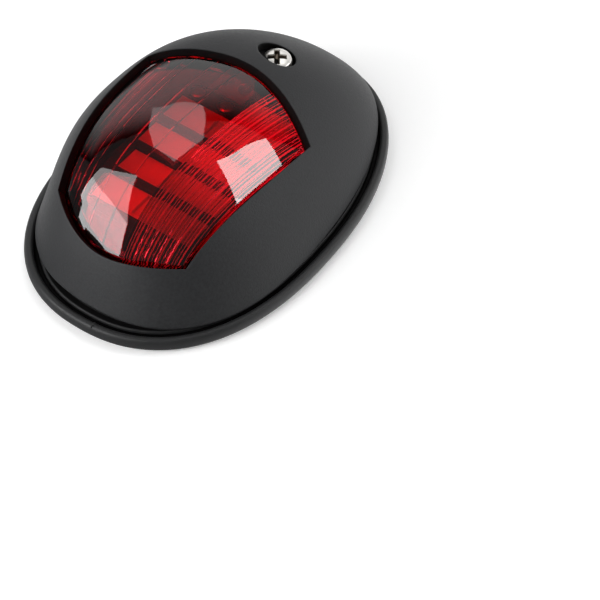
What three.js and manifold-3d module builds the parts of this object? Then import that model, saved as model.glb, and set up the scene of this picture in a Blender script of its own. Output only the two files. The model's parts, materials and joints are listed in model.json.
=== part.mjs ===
// Side-mounted LED navigation light, port (red) version.
// Units are millimetres. The origin is the centre of the base's underside, +Z points away from the
// mounting surface, +X runs along the oval's long axis towards the cover screw.
import * as THREE from 'three';
import { mergeVertices } from 'three/addons/utils/BufferGeometryUtils.js';
import Module from 'manifold-3d';

const wasm = await Module();
wasm.setup();

// Base plate: an egg-shaped oval, narrower at the cover screw
const BASE_A = 44.0;
const BASE_B = 29.3;
const BASE_POWER = 2.25;
const BASE_SKEW = -0.07;
const BEAD_TOP = 2.9;
const GROOVE_Z = 1.5;
const DECK_Z = 2.6;
const RECESS_DEPTH = 1.3;

// Cover dome: an egg-shaped footprint whose crest leans towards the window end and the +Y side
const DOME_A = 41.6;
const DOME_B = 26.6;
const DOME_POWER = 2.35;
const DOME_SKEW = -0.15;
const DOME_X = 1.55;
const DOME_Z = 3.6;
const DOME_RISE = 28.4;
const DOME_LEAN = [-8.1, 7.9];
const LEAN_POWER = 1.55;
const SECTION_POWER = 2.6;
const CREST_POWER = 1.1;
const COVER_WALL = 2.0;
const LENS_GAP = 0.3;
const LENS_WALL = 2.0;

// Window in the cover, cut along lines that meet at one point under the base
const CUT_CENTRE = [-9, 2, -16];
const WINDOW_Y = 0.3;
const WINDOW_HALF = 17.35;
const WINDOW_RIGHT = 13.3;
const WINDOW_LEFT = -35.55;
const LENS_MARGIN = 1.8;

// Cover screw, its post and its recess
const SCREW_X = 21.9;
const RECESS_R = 3.8;
const SEAT_Z = 20.1;
const HEAD_R = 3.1;
const HEAD_BOTTOM = 20.7;
const HEAD_EDGE = 22.3;
const HEAD_TOP = 23.0;
const SHANK_R = 1.5;
const SCREW_TIP = 7.0;
const BOSS_R = 5.2;
const BOSS_BOTTOM = 11.6;
const POST_R = 3.5;
const POST_BORE = 6.4;
const POST_TOP = 11.2;

// Screws that hold the base to the hull, and the cable inlet
const MOUNT_HOLES = [-29.5, 31.0];
const MOUNT_HOLE_R = 2.2;
const INLET = [19, -11.5];
const INLET_R = 4.4;

// LED unit
const UNIT_X = [-23.4, 13.4];
const UNIT_Y = [-11.8, 15.7];
const BOARD_Z = 9.2;
const BOARD_T = 1.2;
const CELL_PITCH = 8.0;
const CELL_X = [-18.6, -10.6, -2.6, 5.4];
const CELL_Y = [0.9, 1.0, 2.3, 2.4];
const CELL_HALF = 12.2;
const LED_HALF = 2.5;
const WING_X = 16.2;
const WING_Y = [-10.2, 3.2];

const group = new THREE.Group();

// Superellipse whose width changes evenly along X by the skew, as an egg's does
function eggRing({ a, b, power, skew }, z, count = 64) {
  const ring = [];
  for (let j = 0; j < count; j += 1) {
    const c = Math.cos((j / count) * Math.PI * 2);
    const s = Math.sin((j / count) * Math.PI * 2);
    const k = Math.pow(Math.pow(Math.abs(c), power) + Math.pow(Math.abs(s), power), -1 / power);
    ring.push([a * k * c, b * k * s * (1 + skew * k * c), z]);
  }
  return ring;
}

function baseRing(inset, z, count = 64) {
  return eggRing({ a: BASE_A - inset, b: BASE_B - inset, power: BASE_POWER, skew: BASE_SKEW }, z, count);
}

function footRing(insetX, insetY, z, count = 64) {
  const egg = { a: DOME_A - insetX, b: DOME_B - insetY, power: DOME_POWER, skew: DOME_SKEW };
  return eggRing(egg, z, count).map(([x, y]) => [x + DOME_X, y, z]);
}

function centreOf(ring) {
  const sum = [0, 0, 0];
  for (const point of ring) {
    for (let k = 0; k < 3; k += 1) sum[k] += point[k] / ring.length;
  }
  return sum;
}

// Skin over a stack of rings. Each ring runs anticlockwise seen from +Z and the stack runs upwards;
// a closed stack joins its last ring to its first, an open one is capped at both ends.
function loft(rings, { closed = false, apex = null } = {}) {
  const count = rings[0].length;
  const positions = rings.flat(2);
  const index = [];
  const spans = closed ? rings.length : rings.length - 1;
  for (let i = 0; i < spans; i += 1) {
    const low = i * count;
    const high = ((i + 1) % rings.length) * count;
    for (let j = 0; j < count; j += 1) {
      const next = (j + 1) % count;
      index.push(low + j, low + next, high + next);
      index.push(low + j, high + next, high + j);
    }
  }
  if (!closed) {
    const bottom = positions.length / 3;
    positions.push(...centreOf(rings[0]));
    const top = bottom + 1;
    positions.push(...(apex ?? centreOf(rings[rings.length - 1])));
    const last = (rings.length - 1) * count;
    for (let j = 0; j < count; j += 1) {
      const next = (j + 1) % count;
      index.push(bottom, next, j);
      index.push(top, last + j, last + next);
    }
  }
  const geometry = new THREE.BufferGeometry();
  geometry.setAttribute('position', new THREE.Float32BufferAttribute(positions, 3));
  geometry.setIndex(index);
  return geometry;
}

function toSolid(geometry) {
  const plain = geometry.clone();
  plain.deleteAttribute('normal');
  plain.deleteAttribute('uv');
  const merged = mergeVertices(plain, 1e-4);
  return new wasm.Manifold(new wasm.Mesh({
    numProp: 3,
    vertProperties: new Float32Array(merged.attributes.position.array),
    triVerts: new Uint32Array(merged.index.array),
  }));
}

function toGeometry(solid) {
  const mesh = solid.getMesh();
  const geometry = new THREE.BufferGeometry();
  geometry.setAttribute('position', new THREE.BufferAttribute(mesh.vertProperties, 3));
  geometry.setIndex(new THREE.BufferAttribute(mesh.triVerts, 1));
  return geometry;
}

function addPiece(name, shape, colour, roughness, metalness = 0) {
  const geometry = shape.isBufferGeometry ? shape : toGeometry(shape);
  const material = new THREE.MeshStandardMaterial({ color: colour, roughness, metalness });
  const mesh = new THREE.Mesh(geometry, material);
  mesh.name = name;
  group.add(mesh);
  return mesh;
}

function box(x0, x1, y0, y1, z0, z1) {
  const geometry = new THREE.BoxGeometry(x1 - x0, y1 - y0, z1 - z0);
  geometry.translate((x0 + x1) / 2, (y0 + y1) / 2, (z0 + z1) / 2);
  return toSolid(geometry);
}

// Solid of revolution about a vertical axis through (x, y), from [radius, z] pairs that start and
// end on the axis, running upwards
function turned(x, y, profile, count = 24) {
  const points = profile.map(([r, z]) => new THREE.Vector2(r, z));
  const geometry = new THREE.LatheGeometry(points, count);
  geometry.rotateX(Math.PI / 2);
  geometry.translate(x, y, 0);
  return toSolid(geometry);
}

function rod(x, y, radius, z0, z1, count = 24) {
  return turned(x, y, [[0, z0], [radius, z0], [radius, z1], [0, z1]], count);
}

// ---- Dome surfaces ----

function domeRing(inset, theta, count) {
  const reach = Math.pow(Math.cos(theta), 2 / SECTION_POWER);
  const lift = Math.pow(Math.sin(theta), 2 / CREST_POWER);
  const lean = Math.pow(lift, LEAN_POWER);
  const egg = {
    a: (DOME_A - inset) * reach,
    b: (DOME_B - inset) * reach,
    power: DOME_POWER,
    skew: DOME_SKEW * reach,
  };
  return eggRing(egg, DOME_Z + (DOME_RISE - inset) * lift, count)
    .map(([x, y, z]) => [x + DOME_X + DOME_LEAN[0] * lean, y + DOME_LEAN[1] * lean, z]);
}

function domeSolid(inset, bottom = DOME_Z, steps = 14, count = 72) {
  const rings = [];
  if (bottom < DOME_Z) {
    rings.push(domeRing(inset, 0, count).map(([x, y]) => [x, y, bottom]));
  }
  for (let i = 0; i < steps; i += 1) {
    rings.push(domeRing(inset, (i / steps) * (Math.PI / 2), count));
  }
  return toSolid(loft(rings, { apex: [DOME_X + DOME_LEAN[0], DOME_LEAN[1], DOME_Z + DOME_RISE - inset] }));
}

function domeHeight(x, y) {
  let lift = 0.8;
  for (let i = 0; i < 60; i += 1) {
    const lean = Math.pow(lift, LEAN_POWER);
    const u = (x - DOME_X - DOME_LEAN[0] * lean) / DOME_A;
    const v = (y - DOME_LEAN[1] * lean) / (DOME_B * (1 + DOME_SKEW * u));
    const reach = Math.pow(Math.pow(Math.abs(u), DOME_POWER) + Math.pow(Math.abs(v), DOME_POWER), 1 / DOME_POWER);
    const rest = Math.max(0, 1 - Math.pow(Math.min(reach, 1), SECTION_POWER));
    lift = 0.5 * lift + 0.5 * Math.pow(rest, 1 / CREST_POWER);
  }
  return DOME_Z + DOME_RISE * lift;
}

// ---- Window outline in plan, widened by a margin; y is measured from the window's own middle line ----

function sideEdge(x, margin) {
  const u = x / 20;
  return WINDOW_HALF + 0.08 * u - 0.82 * u * u + margin;
}

function rightEdge(y, margin) {
  const v = y / 20;
  return WINDOW_RIGHT - 4.64 * v - 9.77 * v * v + 1.04 * v ** 4 + margin;
}

function leftEdge(y, margin) {
  const v = y / 20;
  return WINDOW_LEFT - 0.7 * v + 9.33 * v * v + 2.66 * v ** 4 - margin * 0.8;
}

function cornerWhere(edge, side, margin) {
  let y = side * WINDOW_HALF;
  for (let i = 0; i < 60; i += 1) y = 0.5 * y + 0.5 * side * sideEdge(edge(y, margin), margin);
  return [edge(y, margin), y];
}

function windowOutline(margin, count = 20) {
  const corners = [[rightEdge, -1], [rightEdge, 1], [leftEdge, 1], [leftEdge, -1]]
    .map(([edge, side]) => cornerWhere(edge, side, margin));
  const points = [];
  corners.forEach(([x0, y0], i) => {
    const [x1, y1] = corners[(i + 1) % 4];
    for (let k = 0; k < count; k += 1) {
      const x = x0 + ((x1 - x0) * k) / count;
      const y = y0 + ((y1 - y0) * k) / count;
      if (i === 0) points.push([rightEdge(y, margin), y]);
      if (i === 1) points.push([x, sideEdge(x, margin)]);
      if (i === 2) points.push([leftEdge(y, margin), y]);
      if (i === 3) points.push([x, -sideEdge(x, margin)]);
    }
  });
  return points.map(([x, y]) => [x, y + WINDOW_Y]);
}

function windowCutter(margin) {
  const surface = windowOutline(margin).map(([x, y]) => [x, y, domeHeight(x, y)]);
  const scaled = (k) => surface.map((point) => point.map((v, i) => CUT_CENTRE[i] + k * (v - CUT_CENTRE[i])));
  return toSolid(loft([scaled(0.72), scaled(1.6)]));
}

// ---- Base plate ----

function ringWall(outer, inner, z0, z1) {
  const rings = [outer(z0), outer(z1), inner(z1), inner(z0)];
  return toSolid(loft(rings, { closed: true }));
}

function lipWall() {
  const wall = ringWall(
    (z) => footRing(1.5, 2.5, z),
    (z) => footRing(5.4, 4.3, z),
    DECK_Z - 0.4,
    6.0,
  );
  return wall.intersect(domeSolid(COVER_WALL + 0.6, 0));
}

function slotBracket() {
  return box(-37.6, -34.2, -6, 6, DECK_Z - 0.4, 7.9).intersect(domeSolid(COVER_WALL + 0.6, 0));
}

function makeBase() {
  const rings = [
    baseRing(1.0, 0),
    baseRing(0.3, 0.3),
    baseRing(0, 1.0),
    baseRing(0, BEAD_TOP - 1.2),
    baseRing(0.3, BEAD_TOP - 0.4),
    baseRing(0.8, BEAD_TOP),
    baseRing(1.2, BEAD_TOP),
    baseRing(1.7, BEAD_TOP - 0.4),
    baseRing(2.0, GROOVE_Z),
    baseRing(2.8, GROOVE_Z),
    baseRing(3.0, DECK_Z),
  ];
  let base = toSolid(loft(rings));
  base = base.add(lipWall()).add(slotBracket());
  base = base.add(rod(SCREW_X, 0, POST_R, 1, POST_TOP));
  base = base.subtract(rod(SCREW_X, 0, 2.45, POST_BORE, POST_TOP + 1));
  for (const x of MOUNT_HOLES) {
    base = base.add(rod(x, 0, 3.4, 1, DECK_Z + 0.8));
    base = base.subtract(rod(x, 0, MOUNT_HOLE_R, -1, 10));
  }
  base = base.subtract(rod(INLET[0], INLET[1], INLET_R, -1, 10));
  base = base.subtract(box(-39, -34, -4.6, 4.6, 4.0, 6.9));
  base = base.subtract(toSolid(loft([baseRing(3.2, -1, 48), baseRing(3.2, RECESS_DEPTH, 48)])));
  return base;
}

addPiece('base_plate', makeBase(), 0x2b2d30, 0.55);

function makeGasket() {
  let pad = toSolid(loft([baseRing(3.6, 0, 48), baseRing(3.6, RECESS_DEPTH - 0.1, 48)]));
  for (const x of MOUNT_HOLES) pad = pad.subtract(rod(x, 0, MOUNT_HOLE_R + 0.3, -1, 3));
  return pad.subtract(rod(INLET[0], INLET[1], INLET_R + 1.6, -1, 3));
}

addPiece('mounting_gasket', makeGasket(), 0x18191a, 0.9);

addPiece('cable_grommet', turned(INLET[0], INLET[1], [
  [3.2, 0.1],
  [INLET_R + 1.3, 0.1],
  [INLET_R + 1.3, 1.1],
  [INLET_R - 0.15, 1.1],
  [INLET_R - 0.15, DECK_Z + 0.2],
  [INLET_R + 0.9, DECK_Z + 0.2],
  [INLET_R + 0.5, DECK_Z + 1.4],
  [3.2, DECK_Z + 1.8],
  [3.2, 0.1],
]), 0x1c1c1d, 0.8);

addPiece('threaded_insert', turned(SCREW_X, 0, [
  [1.85, POST_BORE + 0.2],
  [2.35, POST_BORE + 0.2],
  [2.35, POST_TOP - 0.1],
  [1.85, POST_TOP - 0.1],
  [1.85, POST_BORE + 0.2],
]), 0xb8923c, 0.35, 1);

addPiece('cover_seal', ringWall(
  (z) => footRing(0.7, 0.55, z),
  (z) => footRing(1.4, 1.6, z),
  DECK_Z + 0.05,
  DOME_Z - 0.1,
), 0x121213, 0.85);

// ---- LED unit ----

// The unit's outline pulled in by the given walls, from z0 to z1
function unitBlock(wallX, wallY, z0, z1) {
  return box(UNIT_X[0] + wallX, UNIT_X[1] - wallX, UNIT_Y[0] + wallY, UNIT_Y[1] - wallY, z0, z1);
}

// A wing on the unit's +X side, under the fluted half of the lens, grown by the given margin
function wing(margin, z0, z1, x0 = UNIT_X[1] - 1) {
  return box(x0, WING_X + margin, WING_Y[0] - margin, WING_Y[1] + margin, z0, z1);
}

const BOARD_HOLES = [[UNIT_X[1] - 1.9, 5.8], [UNIT_X[1] - 1.9, 12.6]];

let carrier = unitBlock(0, 0, DECK_Z + 0.1, BOARD_Z - 0.1).subtract(unitBlock(4.4, 1.8, 0, 20));
carrier = carrier.subtract(box(7, 14, 4.4, 9.5, 0, 6.2));
carrier = carrier.add(wing(0, BOARD_Z - 1.6, BOARD_Z - 0.1));
for (const [x, y] of BOARD_HOLES) carrier = carrier.subtract(rod(x, y, 1.2, 6.0, BOARD_Z, 16));
addPiece('led_carrier', carrier, 0x17181a, 0.6);

let board = unitBlock(0, 0, BOARD_Z, BOARD_Z + BOARD_T).add(wing(0, BOARD_Z, BOARD_Z + BOARD_T));
for (const [x, y] of BOARD_HOLES) board = board.subtract(rod(x, y, 1.25, 0, 20, 16));
addPiece('led_board', board, 0x1f5a34, 0.45);

const TRAY_Z = [BOARD_Z + BOARD_T + 0.1, BOARD_Z + BOARD_T + 2.3];
const traySide = CELL_PITCH / 2 - 0.1;
let tray = null;
CELL_X.forEach((x, i) => {
  const cell = box(x - traySide, x + traySide, CELL_Y[i] - CELL_HALF, CELL_Y[i] + CELL_HALF, TRAY_Z[0], TRAY_Z[1]);
  const link = box(x - 4.2, x + traySide, -8, 10, TRAY_Z[0], TRAY_Z[0] + 0.8);
  tray = tray ? tray.add(cell).add(link) : cell;
});
CELL_X.forEach((x, i) => {
  const y = CELL_Y[i];
  tray = tray.subtract(box(x - LED_HALF - 0.3, x + LED_HALF + 0.3, y - LED_HALF - 0.3, y + LED_HALF + 0.3, 0, 20));
  if (i > 0) {
    const rib = x - CELL_PITCH / 2;
    tray = tray.subtract(box(rib - 1.05, rib + 1.05, -20, 20, TRAY_Z[0] + 0.8, 20));
  }
});
tray = tray.add(wing(-0.9, TRAY_Z[0], TRAY_Z[1], CELL_X[3] + traySide - 0.5));
addPiece('reflector', tray, 0xf2f1ec, 0.3);

const baffleTop = TRAY_Z[1] + 0.7;
let baffle = unitBlock(0, 0, TRAY_Z[0], baffleTop).add(wing(0, TRAY_Z[0], baffleTop));
CELL_X.forEach((x, i) => {
  const side = CELL_PITCH / 2 + (i === 0 ? 0.1 : 0.2);
  const end = CELL_HALF + 0.2;
  baffle = baffle.subtract(box(x - side, x + CELL_PITCH / 2 + 0.1, CELL_Y[i] - end, CELL_Y[i] + end, 0, 30));
});
baffle = baffle.subtract(wing(-0.7, 0, 30, CELL_X[3]));
for (let i = 1; i < 4; i += 1) {
  const rib = CELL_X[i] - CELL_PITCH / 2;
  baffle = baffle.add(box(rib - 0.85, rib + 0.85, UNIT_Y[0] + 0.5, UNIT_Y[1] - 0.5, TRAY_Z[0] + 1.0, baffleTop));
}
for (const [x, y] of BOARD_HOLES) {
  baffle = baffle.subtract(rod(x, y, 1.25, 0, 30, 16));
  baffle = baffle.subtract(rod(x, y, 1.75, baffleTop - 1.2, 30, 16));
}
addPiece('light_baffle', baffle, 0x101112, 0.6);

CELL_X.forEach((x, i) => {
  const led = box(x - LED_HALF, x + LED_HALF, CELL_Y[i] - LED_HALF, CELL_Y[i] + LED_HALF, TRAY_Z[0], TRAY_Z[0] + 1.6);
  addPiece(`led_${i + 1}`, led, 0xf4e9a8, 0.4);
});

BOARD_HOLES.forEach(([x, y], i) => {
  addPiece(`board_screw_${i + 1}`, turned(x, y, [
    [0, 6.3],
    [0.95, 6.3],
    [0.95, baffleTop - 1.1],
    [1.6, baffleTop - 1.1],
    [1.6, baffleTop - 0.5],
    [1.1, baffleTop - 0.05],
    [0, baffleTop],
  ], 16), 0xbfc1c4, 0.3, 1);
});

const underside = BOARD_Z - 0.05;
addPiece('resistor_1', box(-12.6, -9.4, 6.2, 8.8, underside - 0.9, underside), 0x1a1a1c, 0.5);
addPiece('resistor_2', box(-12.6, -9.4, -6.8, -4.2, underside - 0.9, underside), 0x1a1a1c, 0.5);
addPiece('diode', box(-3.2, 1.4, 6.1, 8.9, underside - 1.7, underside), 0x222224, 0.5);

// ---- Terminal block and internal leads ----

const TERMINAL = { x0: 16.6, x1: 24.6, y0: 5.6, y1: 14.0, z0: DECK_Z + 0.1, z1: 9.6 };
const TERMINAL_Y = [7.75, 11.85];

let terminal = box(TERMINAL.x0, TERMINAL.x1, TERMINAL.y0, TERMINAL.y1, TERMINAL.z0, TERMINAL.z1);
for (const y of TERMINAL_Y) {
  terminal = terminal.subtract(rod((TERMINAL.x0 + TERMINAL.x1) / 2, y, 1.65, 6.6, 20, 18));
  terminal = terminal.subtract(box(TERMINAL.x0 - 1, TERMINAL.x1 + 1, y - 1.2, y + 1.2, 3.6, 6.0));
}
addPiece('terminal_block', terminal, 0xd8d6cc, 0.5);

TERMINAL_Y.forEach((y, i) => {
  const screw = turned((TERMINAL.x0 + TERMINAL.x1) / 2, y, [
    [0, 6.8],
    [1.5, 6.8],
    [1.5, 8.9],
    [1.3, 9.2],
    [0, 9.2],
  ], 18);
  const slot = box(TERMINAL.x0, TERMINAL.x1, y - 0.25, y + 0.25, 8.5, 10);
  addPiece(`terminal_screw_${i + 1}`, screw.subtract(slot), 0xc9ccd0, 0.3, 1);
});

function lead(points, radius) {
  const curve = new THREE.CatmullRomCurve3(points.map((p) => new THREE.Vector3(...p)));
  const section = new THREE.Shape();
  section.absarc(0, 0, radius, 0, Math.PI * 2, false);
  return new THREE.ExtrudeGeometry(section, {
    steps: 16,
    curveSegments: 5,
    bevelEnabled: false,
    extrudePath: curve,
  });
}

addPiece('wire_positive', toSolid(lead([
  [20.4, TERMINAL_Y[0], 4.8],
  [15.8, TERMINAL_Y[0] - 0.2, 4.8],
  [13.4, 5.9, 4.6],
  [8.6, 5.5, 4.7],
  [5.6, 5.3, 6.0],
  [4.6, 5.1, 8.7],
], 0.75)), 0xb01818, 0.5);
addPiece('wire_negative', toSolid(lead([
  [20.4, TERMINAL_Y[1], 4.8],
  [16.8, TERMINAL_Y[1] - 0.1, 4.8],
  [14.9, 9.6, 4.6],
  [13.4, 8.0, 4.6],
  [8.6, 7.6, 4.7],
  [4.8, 8.4, 6.2],
  [3.8, 9.0, 8.7],
], 0.75)), 0x151515, 0.5);

// ---- Cover with its screw boss, recess, window and hook tongue ----

function makeCover() {
  const outer = domeSolid(0);
  let cover = outer.subtract(domeSolid(COVER_WALL, 0));
  cover = cover.add(rod(SCREW_X, 0, BOSS_R, BOSS_BOTTOM, 30, 32).intersect(outer));
  cover = cover.subtract(rod(SCREW_X, 0, RECESS_R, SEAT_Z, 40, 32));
  cover = cover.subtract(rod(SCREW_X, 0, 1.85, 0, 40));
  cover = cover.subtract(rod(SCREW_X, 0, 3.3, 0, BOSS_BOTTOM + 1.8));
  cover = cover.subtract(windowCutter(0));
  return cover.add(box(-38.5, -36.4, -4, 4, 4.5, 5.4));
}

addPiece('cover', makeCover(), 0x3f4246, 0.5);

const lens = domeSolid(COVER_WALL + LENS_GAP)
  .subtract(domeSolid(COVER_WALL + LENS_GAP + LENS_WALL, 0))
  .intersect(windowCutter(LENS_MARGIN));
addPiece('lens', lens, 0xb3121c, 0.08);

function phillipsCut() {
  const depth = HEAD_TOP - 1.6;
  const arm = box(SCREW_X - 1.75, SCREW_X + 1.75, -0.42, 0.42, depth, 25);
  return arm.add(box(SCREW_X - 0.42, SCREW_X + 0.42, -1.75, 1.75, depth, 25));
}

const screw = turned(SCREW_X, 0, [
  [0, SCREW_TIP],
  [SHANK_R * 0.8, SCREW_TIP],
  [SHANK_R, SCREW_TIP + 0.4],
  [SHANK_R, HEAD_BOTTOM],
  [HEAD_R, HEAD_BOTTOM],
  [HEAD_R, HEAD_EDGE - 0.4],
  [HEAD_R * 0.95, HEAD_EDGE + 0.1],
  [HEAD_R * 0.78, HEAD_TOP - 0.25],
  [HEAD_R * 0.45, HEAD_TOP - 0.04],
  [0, HEAD_TOP],
], 28);
addPiece('cover_screw', screw.subtract(phillipsCut()), 0xd2d0cb, 0.22, 1);

addPiece('screw_seal', turned(SCREW_X, 0, [
  [1.75, SEAT_Z + 0.05],
  [3.1, SEAT_Z + 0.05],
  [3.1, HEAD_BOTTOM - 0.05],
  [1.75, HEAD_BOTTOM - 0.05],
  [1.75, SEAT_Z + 0.05],
]), 0x151515, 0.8);

addPiece('screw_retainer', turned(SCREW_X, 0, [
  [1.65, BOSS_BOTTOM + 0.4],
  [2.9, BOSS_BOTTOM + 0.4],
  [2.9, BOSS_BOTTOM + 1.4],
  [1.65, BOSS_BOTTOM + 1.4],
  [1.65, BOSS_BOTTOM + 0.4],
]), 0xe6e3da, 0.4);

export default group;
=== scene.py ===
"""Looks for the side-mounted LED navigation light, port (red) version. Metres, +Z away from the hull."""
import json
import math

import bmesh
import bpy
import numpy as np
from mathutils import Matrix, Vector


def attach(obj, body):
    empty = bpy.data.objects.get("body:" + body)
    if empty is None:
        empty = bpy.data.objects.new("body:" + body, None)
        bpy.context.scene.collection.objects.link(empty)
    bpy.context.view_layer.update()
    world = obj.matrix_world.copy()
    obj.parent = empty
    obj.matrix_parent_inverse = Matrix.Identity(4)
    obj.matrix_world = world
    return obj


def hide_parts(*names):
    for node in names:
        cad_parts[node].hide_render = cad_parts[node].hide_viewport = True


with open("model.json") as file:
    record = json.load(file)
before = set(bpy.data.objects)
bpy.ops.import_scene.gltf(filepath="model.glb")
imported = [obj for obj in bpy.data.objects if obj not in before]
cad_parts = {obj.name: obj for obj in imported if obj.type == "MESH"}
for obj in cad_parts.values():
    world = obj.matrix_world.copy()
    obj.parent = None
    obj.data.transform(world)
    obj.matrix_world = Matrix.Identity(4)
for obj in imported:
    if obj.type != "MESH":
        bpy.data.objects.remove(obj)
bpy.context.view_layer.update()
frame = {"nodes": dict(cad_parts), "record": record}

MM = 0.001

# Shape of the part, in millimetres
BASE_A, BASE_B, BASE_POWER, BASE_SKEW = 44.0, 29.3, 2.25, -0.07
DOME_A, DOME_B, DOME_POWER, DOME_SKEW, DOME_X = 41.6, 26.6, 2.35, -0.15, 1.55
DOME_Z, DOME_RISE, DOME_LEAN, LEAN_POWER = 3.6, 28.4, np.array([-8.1, 7.9]), 1.55
SECTION_POWER, CREST_POWER = 2.6, 1.1
COVER_WALL, LENS_GAP, LENS_WALL = 2.0, 0.3, 2.0
CUT_CENTRE = np.array([-9.0, 2.0, -16.0])
WINDOW_Y, WINDOW_HALF, WINDOW_RIGHT, WINDOW_LEFT, LENS_MARGIN = 0.3, 17.35, 13.3, -35.55, 1.8
SCREW_X, RECESS_R, SEAT_Z = 21.9, 3.8, 20.1
HEAD_R, HEAD_BOTTOM, HEAD_TOP = 3.1, 20.7, 23.25
SHANK_R, SCREW_TIP = 1.5, 7.0
BOSS_R, BOSS_BOTTOM = 5.2, 11.6
POST_R, POST_BORE, POST_TOP, INSERT_BORE_R = 3.5, 6.4, 11.2, 2.45
MOUNT_HOLES, MOUNT_HOLE_R = (-29.5, 31.0), 2.2
INLET, INLET_R = (19.0, -11.5), 4.4


# ---------------------------------------------------------------- mesh helpers

def new_object(name, verts, faces, material_index, sharp, closed):
    mesh = bpy.data.meshes.new(name)
    mesh.from_pydata((np.asarray(verts, float) * MM).tolist(), [], faces)
    mesh.validate()
    obj = bpy.data.objects.new(name, mesh)
    bpy.context.scene.collection.objects.link(obj)
    mesh.polygons.foreach_set("material_index", material_index)
    finish_mesh(obj, sharp, closed)
    return obj


def finish_mesh(obj, sharp, closed):
    mesh = obj.data
    if closed:
        bm = bmesh.new()
        bm.from_mesh(mesh)
        bmesh.ops.recalc_face_normals(bm, faces=bm.faces)
        bm.to_mesh(mesh)
        bm.free()
    mesh.polygons.foreach_set("use_smooth", [True] * len(mesh.polygons))
    mesh.set_sharp_from_angle(angle=math.radians(sharp))
    mesh.update()


class Surface:
    """Collects rings and grids of points into one mesh."""

    def __init__(self):
        self.verts, self.faces, self.kinds = [], [], []

    def ring(self, points):
        start = len(self.verts)
        self.verts.extend([tuple(p) for p in points])
        return list(range(start, len(self.verts)))

    def face(self, indices, kind=0):
        if len(set(indices)) > 2:
            self.faces.append(tuple(indices))
            self.kinds.append(kind)

    def strip(self, a, b, kind=0):
        n = len(a)
        for j in range(n):
            k = (j + 1) % n
            self.face((a[j], a[k], b[k], b[j]), kind)

    def fan(self, ring, centre):
        (c,) = self.ring([centre])
        for j in range(len(ring)):
            self.face((ring[j], ring[(j + 1) % len(ring)], c))

    def build(self, name, sharp=38, closed=False):
        return new_object(name, self.verts, self.faces, self.kinds, sharp, closed)


def bezier(a, corner, b, t):
    return (1 - t) ** 2 * a + 2 * t * (1 - t) * corner + t ** 2 * b


def rounded_profile(points, rounds=3):
    """Cuts the corners of an open polyline, keeping its ends."""
    pts = [np.array(p, float) for p in points]
    for _ in range(rounds):
        cut = [pts[0]]
        for a, b in zip(pts[:-1], pts[1:]):
            cut.append(a * 0.75 + b * 0.25)
            cut.append(a * 0.25 + b * 0.75)
        cut.append(pts[-1])
        pts = cut
    return pts


FILLET_STEPS = 4


def filleted(profile, radius):
    """Rounds each inner corner of an (r, z) polyline by about the given radius."""
    pts = [np.array(p, float) for p in profile]
    out = [pts[0]]
    for a, c, b in zip(pts[:-2], pts[1:-1], pts[2:]):
        u, v = a - c, b - c
        cut = min(radius, 0.45 * np.linalg.norm(u), 0.45 * np.linalg.norm(v))
        start, end = c + u / np.linalg.norm(u) * cut, c + v / np.linalg.norm(v) * cut
        for i in range(FILLET_STEPS + 1):
            out.append(bezier(start, c, end, i / FILLET_STEPS))
    out.append(pts[-1])
    return out


def turned(surface, x, y, profile, count, radius):
    """Solid of revolution from (r, z) pairs that start and end on the axis, or a closed ring section."""
    pts = filleted(profile, radius)
    angles = np.linspace(0, 2 * math.pi, count, endpoint=False)
    on_axis = abs(profile[0][0]) < 1e-9
    rings = []
    for r, z in (pts[1:-1] if on_axis else pts[:-1]):
        rings.append(surface.ring([(x + r * math.cos(a), y + r * math.sin(a), z) for a in angles]))
    for a, b in zip(rings[:-1], rings[1:]):
        surface.strip(a, b)
    if on_axis:
        surface.fan(rings[0], (x, y, pts[0][1]))
        surface.fan(rings[-1], (x, y, pts[-1][1]))
    else:
        surface.strip(rings[-1], rings[0])


def block(surface, lo, hi, radius=0.2, kind=0):
    """A box with rounded edges: a stack of rounded rectangles, drawn in at the top and bottom."""
    lo, hi = np.array(lo, float), np.array(hi, float)
    r = min(radius, 0.45 * float((hi - lo).min()))
    levels = []
    for i in range(4):
        a = i / 3 * math.pi / 2
        levels.append((r * (1 - math.sin(a)), lo[2] + r * (1 - math.cos(a))))
    levels += [(d, hi[2] + lo[2] - z) for d, z in reversed(levels)]
    rings = []
    for draw, z in levels:
        pts = []
        for cx, cy, start in ((hi[0] - r, hi[1] - r, 0), (lo[0] + r, hi[1] - r, 90),
                              (lo[0] + r, lo[1] + r, 180), (hi[0] - r, lo[1] + r, 270)):
            for i in range(4):
                a = math.radians(start + 30 * i)
                k = r - draw
                pts.append((cx + k * math.cos(a), cy + k * math.sin(a), z))
        rings.append(surface.ring(pts))
    for a, b in zip(rings[:-1], rings[1:]):
        surface.strip(a, b, kind=kind)
    surface.face(tuple(reversed(rings[0])), kind)
    surface.face(tuple(rings[-1]), kind)


def cut_with(obj, cutters, operation="DIFFERENCE"):
    for cutter in cutters:
        mod = obj.modifiers.new("cut", "BOOLEAN")
        mod.operation = operation
        mod.solver = "EXACT"
        mod.object = cutter
        bpy.context.view_layer.update()
        dg = bpy.context.evaluated_depsgraph_get()
        mesh = bpy.data.meshes.new_from_object(obj.evaluated_get(dg))
        obj.modifiers.clear()
        obj.data = mesh
        bpy.data.objects.remove(cutter)


# ---------------------------------------------------------------- shapes of the dome and the window

def egg_point(a, b, power, skew, angle, reach=1.0):
    """Superellipse whose width changes evenly along X by the skew, as an egg's does."""
    c, s = np.cos(angle), np.sin(angle)
    k = (np.abs(c) ** power + np.abs(s) ** power) ** (-1 / power) * reach
    return a * k * c, b * k * s * (1 + skew * k * c)


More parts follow.
